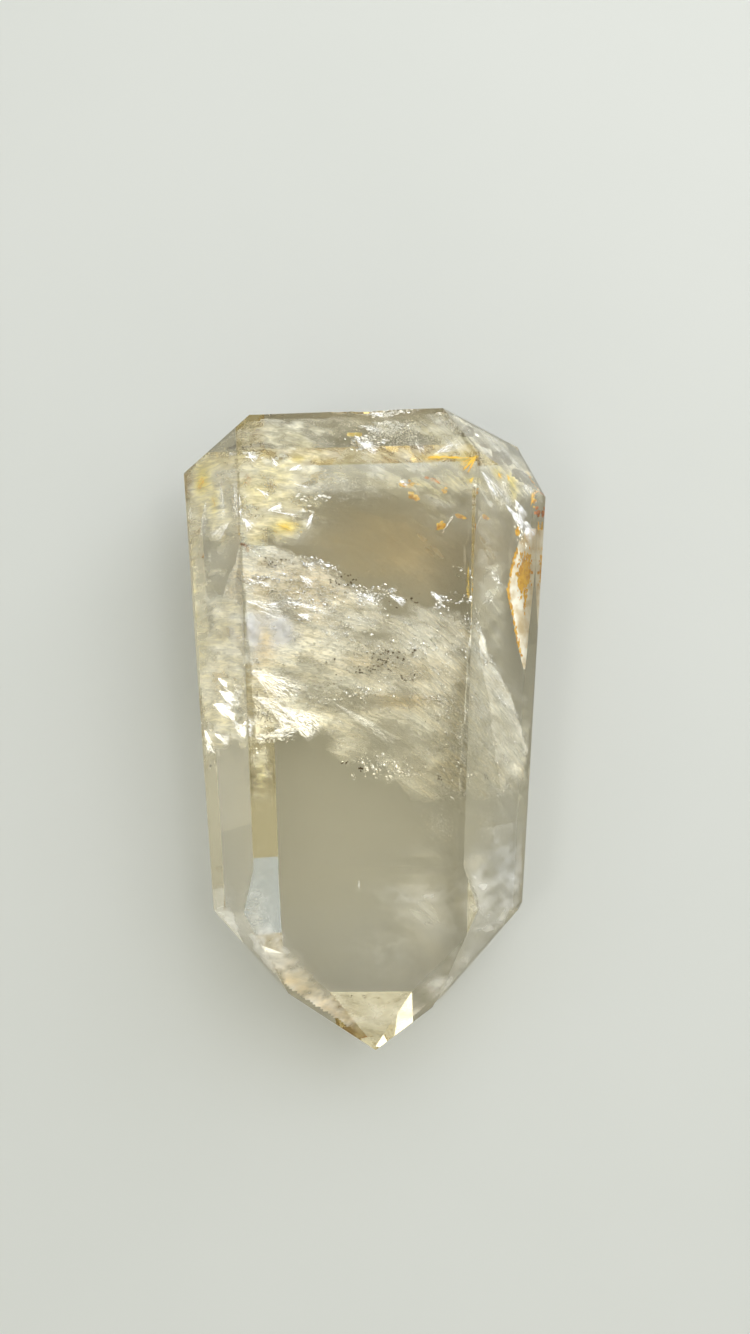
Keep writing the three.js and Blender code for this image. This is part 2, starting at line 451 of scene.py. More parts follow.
def veil_cover(spots):
    """The share of the veil's surface that is milky at each place."""
    top = np.interp(spots[:, 0], *np.array(VEIL_TOP).T) - spots[:, 1]
    foot = spots[:, 1] - np.interp(spots[:, 0], *np.array(VEIL_FOOT).T)
    clouds = wisps(spots, 6.0, 3.0, -20, 7.7)
    grain = wisps(spots, 1.5, 0.5, -18, 0.0)
    edge = np.clip(top / 0.5, 0, 1) * np.clip(foot / 3.0 + 0.3 * clouds, 0, 1)
    gaps = np.clip(1 - spread(spots, VEIL_GAPS), 0.03, 1)
    banks = 1 + spread(spots, VEIL_BANKS)
    return edge * gaps * np.clip((0.22 + 0.45 * clouds + 0.4 * grain) * banks, 0.02, 1)


# A film gleams when it faces half-way between straight up and a light, as they are seen from
# inside the stone through the polished face above it.
UP = Vector((0, 0, 1))
LIGHT_WAYS = [heading_to(WINDOWS[name]["azimuth"], WINDOWS[name]["elevation"])
              for name in ("wide_window", "high_lamp", "left_lamp")]
# How much the facing wanders with the wisps.
SHEEN = 0.2


def inwards(way, face):
    """The direction inside the stone that leads out through a face along a given way."""
    slant = way.dot(face)
    steep = math.sqrt(1 - (1 - slant ** 2) / QUARTZ_IOR ** 2)
    return way / QUARTZ_IOR + (steep - slant / QUARTZ_IOR) * face


def gleaming(centres, spread_by, sheen=SHEEN):
    """Facing directions that scatter round the one that gleams."""
    mean = np.empty((len(centres), 3))
    for k, centre in enumerate(centres):
        place, face = Vector(centre) * MM, UP
        # The first way is straight up, and the second one is bent by the face that it meets.
        for _ in range(2):
            face = stone_shape.ray_cast(place, inwards(UP, face))[1] or UP
            if face.z < 0.1:
                face = UP
        lit_by = [way for way in LIGHT_WAYS if way.dot(face) > 0.35] or LIGHT_WAYS
        mean[k] = inwards(UP, face) + inwards(lit_by[0], face)
    mean = unit(mean)
    mean[:, 0] += sheen * (wisps(centres, 3.0, 1.6, -20, 2.2) - 0.5)
    return unit(mean + rng.normal(0, spread_by, (len(centres), 3)))


def veil_milk(spots):
    """How crowded the gas pockets are over the veil, apart from its fine streaks."""
    top = np.interp(spots[:, 0], *np.array(VEIL_TOP).T) - spots[:, 1]
    foot = spots[:, 1] - np.interp(spots[:, 0], *np.array(VEIL_FOOT).T)
    clouds = wisps(spots, 5.0, 2.0, -20, 7.7)
    edge = np.clip((top + 0.9 * clouds) / 1.3, 0, 1) * np.clip(foot / 3.5 + 0.7 * clouds, 0, 1)
    gaps = np.clip(1 - spread(spots, VEIL_GAPS), 0.02, 1)
    return np.clip(edge * gaps * (0.8 + 0.5 * clouds) * (1 + spread(spots, VEIL_BANKS)), 0, 2)


# The healed fracture itself, on which the gas pockets lie.
healed_fracture = milky_film("healed_fracture_film", "#FCF8E4", "#F5ECD0", "#DDB764",
                             0.4, 0.46, 0.98)
film_sheet("veil_film", (-28, -12), (27, 33), 0.35, lambda spots: on_veil(spots, 0.0), veil_milk,
           lambda spots: np.clip(spread(spots, VEIL_RUST), 0, 1), healed_fracture)

spots = np.column_stack([rng.uniform(-27, 27, DUST_TRIES), rng.uniform(-12, 32, DUST_TRIES)])
spots = spots[rng.uniform(0, 1, len(spots)) < 0.6 * veil_cover(spots)]
dust = on_veil(spots, 0.25)
dust = dust[inside(dust)]
count = len(dust)
headings = np.interp(dust[:, 0], *np.array(VEIL_HEADING).T) + rng.normal(0, 30, count)
size = rng.uniform(0.09, 0.19, count)
lay_flakes("veil_dust", dust, headings, gleaming(dust, 0.07), size * 1.6, size, 3, milky_pockets)


def threads(starts, headings, lengths, step, bend):
    """Follows a wandering thread from each start, and gives its points and headings."""
    spots, ways = [], []
    place = starts.copy()
    for k in range(int(max(lengths) / step)):
        turn = bend * np.array([noise.noise(Vector((x / 2, y / 2, 9.0))) for x, y in place])
        way = np.radians(headings + turn)
        place = place + step * np.column_stack([np.cos(way), np.sin(way)])
        going = k * step < lengths
        spots.append(place[going])
        ways.append(np.degrees(way[going]))
    return np.concatenate(spots), np.concatenate(ways)


# Threads wander all over the veil, and crowd together in its feathers.
starts = np.column_stack([rng.uniform(-27, 24, THREAD_TRIES), rng.uniform(-10, 30, THREAD_TRIES)])
starts = starts[rng.uniform(0, 1, len(starts)) < veil_cover(starts)]
headings = np.interp(starts[:, 0], *np.array(VEIL_HEADING).T) + rng.normal(0, 16, len(starts))
for x, y, wide, high, slant, number in VEIL_FEATHERS:
    root = np.column_stack([rng.normal(x - 0.4 * wide, SCATTER * wide, number),
                            rng.normal(y + 0.3 * high, SCATTER * high, number)])
    starts = np.concatenate([starts, root])
    headings = np.concatenate([headings, rng.normal(-slant, 14, number)])
lengths = rng.lognormal(0.0, 0.55, len(starts))
spots, ways = threads(starts, headings, lengths, THREAD_STEP, 30)
spots += rng.normal(0, 0.11, spots.shape)
kept = rng.uniform(0, 1, len(spots)) < 0.7
films = on_veil(spots[kept], 0.12)
ways = ways[kept]
clear = inside(films)
films, ways = films[clear], ways[clear]
count = len(films)
size = np.clip(rng.lognormal(-1.75, 0.45, count), 0.06, 0.6)
lay_flakes("veil_threads", films, ways + rng.normal(0, 25, count), gleaming(films, 0.1),
           size * 1.6, size, 4, mirror_films)


# Plumes: fan-shaped gas films that lie on the veil, the brightest white in the stone. Each
# one spreads from a point, where it is densest.
# Each: X and Y of the root, heading, length, half of the fan's angle, weight.
VEIL_PLUMES = [(-13.3, 6.9, -28, 8.1, 17, 2.0), (-14.0, 6.2, -40, 4.5, 24, 1.6),
               (-15.5, 1.8, 16, 5.7, 16, 1.8), (-17.6, 2.2, -16, 2.8, 25, 1.6),
               (-17.5, 12.4, -31, 9.3, 22, 1.1), (-11.6, 4.6, -30, 5.0, 20, 1.8),
               (-16.8, 8.2, -24, 5.0, 20, 1.4), (-9.4, 28.3, -38, 3.2, 14, 1.7),
               (-9.3, 25.6, -35, 2.5, 20, 1.2), (-17.5, 25.4, -20, 4.5, 8, 1.1),
               (-17.8, 22.2, -13, 6.5, 12, 0.9), (-9.7, 20.1, -16, 2.2, 20, 2.2),
               (0.2, 22.7, -35, 1.8, 25, 2.0), (3.8, 22.7, -26, 2.9, 18, 1.6),
               (9.9, 23.1, -39, 2.5, 20, 1.5), (6.4, 25.9, -41, 1.5, 15, 1.6),
               (3.1, 26.2, -50, 1.6, 15, 1.5), (-11.6, 22.0, -14, 7.6, 6, 0.9),
               (-15.8, 20.8, -19, 5.3, 6, 0.9), (-4.9, 7.6, -33, 12.8, 6, 0.45)]
VEIL_PLUME_LIFT = (0, 0, 0.5)
# White gas film: smooth and glossy, so that a whole fan flashes white at once.
white_plume = milky_film("white_gas_plume", "#FFFFFF", "#FEFBF2", "#E8C060", 0.14, -0.75, 2.0,
                         ripples=0.05, rough=0.14)
plumes("veil_plumes", VEIL_PLUMES, lambda spots: on_veil(spots, 0.0) + VEIL_PLUME_LIFT,
       white_plume)


# Panes: two smooth, flat gas pockets that lie on the veil near its left end. They are grown
# into the stone as the veil is, and look pale lavender grey.
PANES = [(-16.9, 17.6, 1.3, 3.6, 0.45), (-12.6, 16.8, 3.0, 2.2, 0.4), (-14.0, 19.5, 4.0, 1.2, 0.2)]
PANE_LIFT = (0, 0, 0.8)


def haze_of(patches, step):
    """Milkiness from patches, broken into soft clouds."""
    def milk(spots):
        clouds = wisps(spots, step, 0.7 * step, 20, 8.8)
        return np.clip(spread(spots, patches) * (0.9 + 0.9 * clouds), 0, 1)
    return milk


def unstained(spots):
    return np.zeros(len(spots))


# Smooth gas film: even and slightly blue, with hardly a ripple in it.
smooth_pane = milky_film("smooth_gas_pane", "#E9EAF4", "#DCDFEC", "#FFFFFF", 3.0, 0.8, 1.0,
                         ripples=0.05)
film_sheet("veil_panes", (-19, 13), (-9, 22), 0.3, lambda spots: on_veil(spots, 0.0) + PANE_LIFT,
           haze_of(PANES, 3.0), unstained, smooth_pane)


# The bruised base end: where the stone was sawn and struck, a milky skin of small cracks and
# pockets lies just under the top face, thickest on the left, with a splintery crack in the
# middle of the end and milky corners.
# Each patch: X, Y, Z, half length, half width, heading, number of flakes.
BASE_HAZE = [(4.0, 46.6, 31.0, 6.0, 2.2, 0, 2500), (12.0, 47.0, 31.0, 3.2, 2.2, 0, 2500),
             (12.5, 43.8, 28.0, 4.0, 1.6, 0, 1200), (19.0, 46.2, 24.0, 5.0, 1.6, -40, 1800),
             (22.0, 42.0, 19.0, 4.0, 1.6, -52, 1500), (17.2, 39.0, 20.0, 2.5, 1.6, -60, 1600),
             (-20.5, 42.5, 15.0, 3.5, 2.6, 40, 2000)]
CRUST_HAZE = [(-16.5, 41.0, 27.0, 3.0, 3.0, 0, 2500), (-12.5, 38.6, 27.0, 4.6, 3.0, -10, 3000),
              (-12.0, 34.8, 24.0, 4.4, 2.2, 0, 3000), (-19.0, 38.0, 18.0, 1.5, 4.2, 0, 2200),
              (-8.0, 40.5, 28.0, 3.5, 1.4, -5, 1600), (-17.0, 33.0, 19.0, 2.2, 1.6, 20, 2000)]
CRUST_SPARKLES = [(-16.4, 43.6, 28, 1.0, 0.5, 0, 34), (-14.2, 42.6, 28, 0.7, 0.3, -30, 16),
                  (-9.9, 41.4, 28, 1.1, 0.4, -5, 30), (-13.4, 39.4, 20, 2.0, 0.3, 90, 60),
                  (-18.4, 35.3, 20, 2.0, 0.4, 0, 50), (-13.1, 35.9, 24, 1.0, 0.35, 0, 30),
                  (-9.4, 35.7, 24, 2.4, 0.2, -6, 40), (-8.2, 34.1, 24, 0.8, 0.3, 65, 24),
                  (-16.6, 33.3, 16, 1.1, 0.8, 30, 40), (-15.6, 34.2, 22, 0.9, 0.3, -60, 20),
                  (-9.5, 39.0, 28, 1.6, 0.25, -20, 20), (-11.5, 43.5, 28, 1.8, 0.9, 20, 26),
                  (-18.5, 40.0, 22, 3.0, 2.5, 40, 60), (-12.5, 38.0, 27, 4.5, 3.0, 0, 120),
                  (-21.5, 42.0, 14, 1.2, 2.2, 0, 40), (-6.5, 37.2, 28, 1.6, 0.3, 0, 16)]
END_SPLINTERS = [(2.2, 48.7, 32.0, 2.4, 0.25, 0, 36), (2.3, 47.0, 30.5, 2.6, 0.6, -4, 46),
                 (-0.3, 44.6, 28.0, 1.2, 0.7, -28, 46), (4.7, 47.4, 31.0, 2.6, 0.9, 0, 36),
                 (1.2, 45.4, 30.0, 2.6, 0.8, -8, 36), (11.5, 48.0, 31.0, 1.4, 0.2, 5, 10),
                 (14.0, 45.2, 29.0, 1.4, 0.5, 25, 12), (17.4, 39.8, 20.0, 0.9, 0.8, -60, 20),
                 (19.6, 33.0, 13.0, 2.0, 0.7, -50, 30)]


# The milky skin, how far under the faces it lies, and how much that depth varies.
SKIN_DEPTH = 1.1
SKIN_WAVES = 0.4
# The height from which the faces are looked for, and the one where the film is left out.
ABOVE_STONE = 60.0
BELOW_STONE = -10.0
# Its milkiness and the yellow iron in it: X, Y, half width, half height, weight.
SKIN_MILK = [(-11.2, 46.6, 8.0, 2.3, 0.6), (7.5, 46.9, 7.3, 2.6, 0.36),
             (-16.3, 39.2, 4.1, 5.1, 0.8), (-9.4, 39.2, 3.6, 5.1, 0.7),
             (-13.8, 32.3, 5.5, 2.9, 0.6), (12.9, 46.5, 3.6, 2.9, 0.4), (20.4, 46.5, 4.4, 2.0, 0.3),
             (23.4, 39.9, 3.2, 3.8, 0.4), (-23.4, 40.8, 2.6, 6.1, 1.2),
             (-21.1, 33.8, 1.9, 4.1, 0.9), (11.9, 35.5, 5.1, 4.1, 0.25),
             (-26.0, 33.4, 0.9, 7.3, 0.7), (-6.0, 42.8, 6.0, 1.1, 0.45), (4.0, 42.7, 6.0, 1.0, 0.4),
             (13.0, 43.2, 5.0, 1.2, 0.5), (5.0, 39.6, 13.0, 2.4, 0.55), (18.5, 34.0, 2.2, 5.0, 0.3),
             (18.0, 43.0, 3.0, 2.0, 0.4)]
SKIN_RUST = [(-14.0, 39.5, 4.5, 4.5, 0.3), (-23.5, 38.0, 2.5, 6.0, 0.3),
             (12.0, 38.5, 5.0, 2.0, 0.25), (-11.2, 32.4, 2.2, 1.3, 0.6),
             (-24.3, 40.7, 1.4, 2.0, 0.7), (11.2, 42.4, 3.2, 0.6, 0.4), (14.9, 41.9, 1.5, 1.2, 0.5),
             (15.5, 39.2, 1.2, 0.6, 0.4), (19.5, 40.8, 0.8, 1.1, 0.5), (21.9, 39.7, 0.8, 1.4, 0.5),
             (22.4, 37.9, 0.8, 1.4, 0.4), (-9.4, 42.3, 1.3, 0.7, 0.4), (-22.0, 36.5, 0.6, 2.0, 0.4),
             (14.7, 45.5, 3.6, 1.8, 0.2), (26.6, 40.8, 0.6, 2.3, 0.4), (-15.3, 30.4, 1.8, 1.6, 0.3),
             (-4.7, 46.6, 5.8, 1.3, 0.15), (23.3, 41.6, 3.6, 3.2, 0.15)]


def under_skin(spots):
    """Lifts flat places to just below the polished faces above them."""
    points = np.column_stack([spots, np.full(len(spots), BELOW_STONE)])
    for k, (x, y) in enumerate(spots):
        place = stone_shape.ray_cast(Vector((x, y, ABOVE_STONE)) * MM, -UP)[0]
        if place:
            waves = SKIN_WAVES * noise.noise(Vector((x / 3, y / 3, 4.0)))
            points[k, 2] = place.z / MM - SKIN_DEPTH * (1 + waves)
    return points


def skin_milk(spots):
    clouds = wisps(spots, 3.0, 1.5, 0, 1.3)
    return np.clip((spread(spots, SKIN_MILK) + spread(spots, SKIN_RUST)) * (0.9 + 0.8 * clouds), 0, 1.2)


# Bruised skin: cracked quartz, cream white, with soft yellow patches of iron.
bruised_skin = milky_film("bruised_skin_film", "#FDF9E6", "#F4EAC4", "#F0DC7C", 0.7, 0.42, 0.9)
film_sheet("base_film", (-28, 26), (28, 49.5), 0.3, under_skin, skin_milk,
           lambda spots: np.clip(1.4 * spread(spots, SKIN_RUST), 0, 1), bruised_skin)


# The skin under the side faces: the same milky layer of small cracks goes on down the upper
# left face, and more thinly down the upper right one, with white fans of gas film in it.
# Milk and rust: X, Y, half width, half height, weight. Plumes are as on the veil.
LEFT_MILK = [(-26.4, 20.0, 0.9, 18.0, 0.9), (-20.5, 15.5, 3.6, 6.0, 1.0),
             (-20.4, 4.5, 3.2, 3.6, 1.0), (-22.9, 0.8, 1.8, 2.0, 0.9), (-18.5, 12.0, 2.0, 4.0, 0.5),
             (-17.8, 2.4, 1.8, 2.0, 0.8), (-21.5, 20.6, 4.0, 1.6, 0.8),
             (-24.5, 10.0, 1.5, 6.0, 1.0), (-25.5, -6.0, 1.0, 4.0, 0.3),
             (-22.6, 26.2, 2.8, 3.6, 0.5), (-15.0, -3.0, 1.3, 4.0, 0.7)]
LEFT_RUST = [(-26.4, 22.0, 0.9, 14.0, 0.4), (-25.0, 14.0, 1.5, 4.0, 0.25),
             (-15.0, -4.0, 1.3, 4.0, 0.6)]
LEFT_PLUMES = [(-20.7, 5.8, -38, 5.4, 22, 2.4), (-21.9, 8.6, -30, 4.4, 20, 1.6),
               (-18.9, 4.4, -50, 3.6, 18, 1.8), (-23.0, 6.4, -17, 3.8, 26, 1.8),
               (-24.6, 2.4, -67, 4.3, 18, 1.8), (-22.7, 1.8, -25, 3.0, 25, 1.8),
               (-18.4, 39.9, -88, 6.3, 9, 2.2), (-19.4, 33.4, -145, 3.8, 25, 2.0),
               (-26.7, 38.4, -89, 4.0, 12, 1.6), (-21.0, 39.9, -84, 6.0, 8, 1.5),
               (-22.0, 10.5, -35, 5.0, 20, 1.0), (-23.6, 37.4, -100, 6.0, 10, 1.4)]
# White plumes in the crust, and in the splintered middle of the end.
BASE_PLUMES = [(-14.0, 34.7, 15, 2.5, 20, 2.0), (-12.7, 34.6, -10, 3.4, 5, 1.5),
               (-17.6, 33.8, -45, 2.3, 25, 2.0), (-7.1, 34.7, -113, 2.8, 12, 1.6),
               (-10.7, 40.5, 18, 2.0, 20, 2.2), (-16.7, 43.3, -48, 1.9, 28, 1.8),
               (-10.1, 38.7, -17, 2.6, 5, 1.4), (-0.7, 48.9, -10, 4.0, 7, 2.0),
               (-0.4, 47.0, -22, 3.1, 14, 1.4), (-1.0, 44.8, -26, 3.7, 20, 2.0),
               (7.3, 44.5, -42, 2.2, 20, 1.2), (10.1, 42.6, 25, 5.0, 16, 0.7),
               (5.3, 39.0, -26, 1.4, 28, 2.2), (-13.2, 42.4, -60, 1.6, 25, 1.5),
               (-15.5, 38.0, -30, 2.4, 14, 1.0)]
RIGHT_PLUMES = [(22.3, 37.3, -57, 3.4, 20, 1.4), (16.8, 40.6, -49, 5.0, 18, 0.9),
                (20.6, 36.4, -41, 7.0, 12, 1.5), (23.4, 41.5, -60, 4.0, 22, 0.9)]
SKIN_PLUME_LIFT = (0, 0, 0.2)
film_sheet("left_film", (-28, -14), (-13.6, 33), 0.3, under_skin, haze_of(LEFT_MILK, 2.0),
           lambda spots: np.clip(spread(spots, LEFT_RUST), 0, 1), bruised_skin)
# A thinner haze lies under the upper right face.
RIGHT_MILK = [(18.3, 9.0, 2.5, 12.0, 0.22), (17.4, 24.0, 1.8, 7.0, 0.2),
              (19.8, 24.0, 1.3, 8.0, 0.3), (23.0, -1.0, 3.0, 9.0, 0.3)]
film_sheet("right_film", (14.5, -14), (27, 29), 0.3, under_skin, haze_of(RIGHT_MILK, 2.5),
           unstained, bruised_skin)
plumes("skin_plumes", LEFT_PLUMES + BASE_PLUMES + RIGHT_PLUMES,
       lambda spots: under_skin(spots) + SKIN_PLUME_LIFT, white_plume)


def strewn(patches, thickness):
    """Places and headings of flakes that are strewn over patches, in loose clumps."""
    spots, ways = [], []
    for x, y, z, long, wide, heading, number in patches:
        c, s = math.cos(math.radians(heading)), math.sin(math.radians(heading))
        u, v = rng.normal(0, SCATTER * long, number), rng.normal(0, SCATTER * wide, number)
        spots.append(np.column_stack([x + u * c - v * s, y + u * s + v * c,
                                      z + rng.normal(0, thickness, number)]))
        ways.append(np.full(number, heading))
    spots, ways = np.concatenate(spots), np.concatenate(ways)
    clear = inside(spots)
    return spots[clear], ways[clear]


def clumped(spots, step, floor):
    """Which places a clumpy noise keeps."""
    clouds = wisps(spots, step, 0.7 * step, 10, 5.5)
    return rng.uniform(0, 1, len(spots)) < np.clip(floor + clouds, 0, 1)


spots, ways = strewn(BASE_HAZE, 0.5)
kept = clumped(spots, 2.5, 0.5)
spots, ways = spots[kept], ways[kept]
size = rng.uniform(0.1, 0.24, len(spots))
lay_flakes("base_haze", spots, ways + rng.normal(0, 40, len(spots)), gleaming(spots, 0.16),
           size * 1.5, size, 3, milky_pockets)

# Crusted pockets: the same gas, with a film of yellow iron oxide in places.
crusted_pockets = gas_film("iron_filmed_pockets", "#FFFDF4", "#F2DC98", 2.5, 0.25, 0.45)
spots, ways = strewn(CRUST_HAZE, 0.6)
kept = clumped(spots, 2.0, 0.45)
spots, ways = spots[kept], ways[kept]
size = rng.uniform(0.1, 0.26, len(spots))
lay_flakes("crust_haze", spots, ways + rng.normal(0, 50, len(spots)), gleaming(spots, 0.2),
           size * 1.5, size, 4, crusted_pockets)

spots, ways = strewn(CRUST_SPARKLES + END_SPLINTERS, 0.15)
size = np.clip(rng.lognormal(-1.3, 0.45, len(spots)), 0.1, 0.9)
lay_flakes("base_sparkles", spots, ways + rng.normal(0, 18, len(spots)), gleaming(spots, 0.06),
           size * 2.4, size, 6, mirror_films)


# The side crack: a flat open crack in the quartz near the right edge, with a smooth bowed rim
# on its left and rust on it. The left rim is given as Y and X, from the tip's side.
CRACK_LEFT = [(12.0, 22.0), (15.1, 20.6), (19.8, 18.8), (24.6, 16.9), (29.0, 17.5), (33.1, 18.6),
              (34.5, 20.0)]
CRACK_RIGHT_X = 22.4
CRACK_FACING = (0.51, 0.21, 0.83)
CRACK_MIDDLE = (17.0, 25.0)
CRACK_HEIGHT = 13.5
CRACK_RIPPLE = 0.12
CRACK_ROWS = 36
CRACK_COLUMNS = 8


def on_crack(x, y, lift=0.0):
    """A place on the crack's slightly rippled surface."""
    ripple = CRACK_RIPPLE * noise.noise(Vector((x / 2.5, y / 5.0, 1.0)))
    fall = CRACK_FACING[0] * (x - CRACK_MIDDLE[0]) + CRACK_FACING[1] * (y - CRACK_MIDDLE[1])
    return (x, y, CRACK_HEIGHT - fall / CRACK_FACING[2] + ripple + lift)


rows_y, rows_x = np.array(CRACK_LEFT).T
points = []
for y in np.linspace(rows_y[0], rows_y[-1], CRACK_ROWS):
    left = np.interp(y, rows_y, rows_x)
    for share in np.linspace(0, 1, CRACK_COLUMNS):
        points.append(on_crack(left + share * (CRACK_RIGHT_X - left), y))
faces = [(k, k + 1, k + 1 + CRACK_COLUMNS, k + CRACK_COLUMNS)
         for k in range((CRACK_ROWS - 1) * CRACK_COLUMNS) if k % CRACK_COLUMNS < CRACK_COLUMNS - 1]
crack_mesh = bpy.data.meshes.new("side_crack")
crack_mesh.from_pydata([Vector(p) * MM for p in points], [], faces)
# Open crack: air between two faces of quartz, a dull cream mirror with tan patches.
open_crack = gas_film("open_crack_film", "#FBF6E8", "#DCC79C", 2.2, 0.3, 0.5)
crack_mesh.materials.append(open_crack)
crack = bpy.data.objects.new("side_crack", crack_mesh)
bpy.context.scene.collection.objects.link(crack)
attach(crack, "root")


# Iron stains: rust-coloured films of iron oxide that seeped into the cracks at the base end.
# Each: X, Y, Z, half length, half width, heading, number of flakes.
YELLOW_STAINS = [(-21.0, 41.2, 14, 1.2, 0.8, 50, 50), (-11.6, 33.3, 22, 1.7, 1.0, -10, 40),
                 (-10.0, 42.6, 28, 1.4, 0.4, 0, 20), (-1.5, 46.2, 30, 1.2, 0.3, 0, 12),
                 (-20.5, 37.0, 12, 0.4, 1.3, 0, 20)]
ORANGE_STAINS = [(6.8, 39.5, 24, 0.9, 0.35, 5, 34), (7.7, 37.7, 24, 0.6, 0.35, -30, 22),
                 (11.7, 33.4, 24, 0.5, 0.4, 20, 24), (14.5, 34.9, 24, 0.8, 0.25, -20, 16),
                 (12.3, 38.7, 24, 0.4, 0.4, 0, 6), (23.0, 38.8, 14, 0.3, 1.1, -10, 24),
                 (25.2, 33.6, 14, 1.0, 0.5, -50, 34), (18.8, 33.6, 13.2, 0.5, 0.6, 0, 26)]
RED_STAINS = [(-17.2, 41.0, 20, 0.35, 0.9, 10, 16), (10.7, 39.9, 26, 1.6, 0.12, -20, 14),
              (24.2, 36.5, 14, 0.7, 0.9, 20, 14)]

# Iron that spread out in fans: X and Y of the root, heading, length, half angle, weight.
IRON_LIFT = (0, 0, 0.4)
IRON_PLUMES = [(16.5, 42.2, 180, 8.0, 4, 2.0), (16.6, 42.6, -135, 3.2, 26, 2.0),
               (16.0, 39.5, -126, 1.2, 22, 1.8), (19.0, 41.1, -44, 1.9, 20, 1.8),
               (21.0, 40.7, -57, 2.4, 16, 1.8), (25.1, 36.3, 74, 2.6, 14, 1.6),
               (-22.8, 41.9, -143, 4.0, 24, 2.4), (-26.7, 41.4, -87, 2.8, 9, 2.0),
               (-22.5, 37.7, -72, 2.0, 14, 1.6), (-12.8, 32.9, -13, 3.8, 26, 0.5),
               (15.3, 27.6, -90, 6.0, 4, 1.0)]
# Iron-stained fan: a thin film of oxide that dried in a crack, clear yellow to orange.
iron_plume = milky_film("iron_stained_fan", "#FBD254", "#F2B93A", "#C87818", 0.35, -0.1, 1.7,
                        ripples=0.2)
plumes("iron_plumes", IRON_PLUMES, lambda spots: under_skin(spots) + IRON_LIFT, iron_plume)

# Iron oxide film: hydrated oxide, yellow where it is thin and rust red where it is thick.
yellow_oxide = gas_film("yellow_iron_oxide_film", "#F8E48A", "#F2CC58", 0.8, 0.25, 0.45)
orange_oxide = gas_film("orange_iron_oxide_film", "#FBD050", "#E8A92C", 0.6, 0.3, 0.5)
red_oxide = gas_film("red_iron_oxide_film", "#E09048", "#B06A30", 0.6, 0.35, 0.5)
for name, patches, oxide in (("yellow_iron_stains", YELLOW_STAINS, yellow_oxide),
                             ("orange_iron_stains", ORANGE_STAINS, orange_oxide),
                             ("red_iron_stains", RED_STAINS, red_oxide)):
    spots, ways = strewn(patches, 0.12)
    size = rng.uniform(0.25, 0.8, len(spots))
    lay_flakes(name, spots, ways, gleaming(spots, 0.12), size * 1.5, size, 7, oxide)

# Rust on the open crack: a thin line along its bowed rim, a blob in its middle and a drip
# below that. The rim's line has its lowest and highest Y and number of flakes, and each patch
# its X, Y, half width, half height and number.
RUSTY_RIM = (14, 31, 150)
RIM_WIDTH = 0.5
RUST_PATCHES = [(20.2, 27.2, 0.55, 1.3, 700), (21.0, 23.2, 0.15, 1.0, 30)]
RUST_LIFT = 0.15

# Thick iron oxide: an opaque ochre crust.
thick_oxide = gas_film("thick_iron_oxide", "#F6C640", "#E0A226", 0.9, 0.4, 0.6)
rust = []
for y in rng.uniform(*RUSTY_RIM):
    left = np.interp(y, rows_y, rows_x)
    rust.append(on_crack(left + rng.uniform(0.0, RIM_WIDTH), y, RUST_LIFT))
for x, y, wide, high, number in RUST_PATCHES:
    rust += [on_crack(x + rng.normal(0, wide), y + rng.normal(0, high), RUST_LIFT)
             for _ in range(number)]
spots = np.array(rust)
size = rng.uniform(0.2, 0.6, len(spots))
lay_flakes("crack_rust", spots, np.full(len(spots), 90.0),
           unit(np.tile(CRACK_FACING, (len(spots), 1))), size * 1.6, size, 7, thick_oxide)


# Dark specks: grains of a dark iron mineral that the crystal grew round. They are strewn on
# the veil, and lie in a short line near the base end: X, Y, Z, half length, half width,
# heading, number.
BASE_SPECKS = [(-16.0, 44.7, 28.0, 2.6, 0.25, 12, 60)]
# Specks on the veil: X, Y, half length, half width, number.
VEIL_SPECKS = [(3.4, 13.3, 2.5, 1.2, 30), (7.2, 10.8, 1.5, 0.8, 14), (-5.0, 12.0, 2.5, 3.0, 12),
               (-2.6, -2.1, 0.7, 0.3, 8), (0.0, -3.0, 0.7, 0.3, 10), (12.0, -4.5, 0.5, 0.3, 6),
               (-10.0, 29.0, 2.5, 0.8, 22), (-3.0, 24.8, 2.0, 0.8, 20), (5.5, 22.0, 3.0, 0.8, 10),
               (-13.0, 27.5, 3.0, 1.0, 26), (0.5, 12.0, 3.0, 0.6, 20), (4.5, 14.4, 2.5, 0.3, 18)]
VEIL_SPECK_LIFT = (0, 0, 0.8)
FLECK_SIZE = 0.5

# Dark mineral grains: an opaque brown iron mineral with a dull lustre.
dark_grain = bpy.data.materials.new("dark_iron_mineral")
dark_grain.use_nodes = True
tree = dark_grain.node_tree
surface = tree.nodes["Principled BSDF"]
surface.inputs["Roughness"].default_value = 0.6
place = add_node(tree, "ShaderNodeTexCoord").outputs["Object"]
fleck = add_node(tree, "ShaderNodeTexNoise", {"Scale": 1 / (FLECK_SIZE * MM), "Detail": 2.0},
                 {"Vector": place})
tone = add_node(tree, "ShaderNodeMix", {"A": linear("#3A2A14"), "B": linear("#6B5222")},
                {"Factor": fleck.outputs["Fac"]}, data_type="RGBA")
tree.links.new(tone.outputs["Result"], surface.inputs["Base Color"])
spots, ways = strewn(BASE_SPECKS, 0.3)
specks = np.concatenate([np.column_stack([rng.normal(x, SCATTER * long, number),
                                          rng.normal(y, SCATTER * wide, number)])
                         for x, y, long, wide, number in VEIL_SPECKS])
specks = on_veil(specks, 0.2) + VEIL_SPECK_LIFT
spots = np.concatenate([spots, specks[inside(specks)]])
size = rng.uniform(0.14, 0.4, len(spots))
lay_flakes("dark_specks", spots, rng.uniform(0, 180, len(spots)), gleaming(spots, 0.2),
           size * 1.4, size, 6, dark_grain)


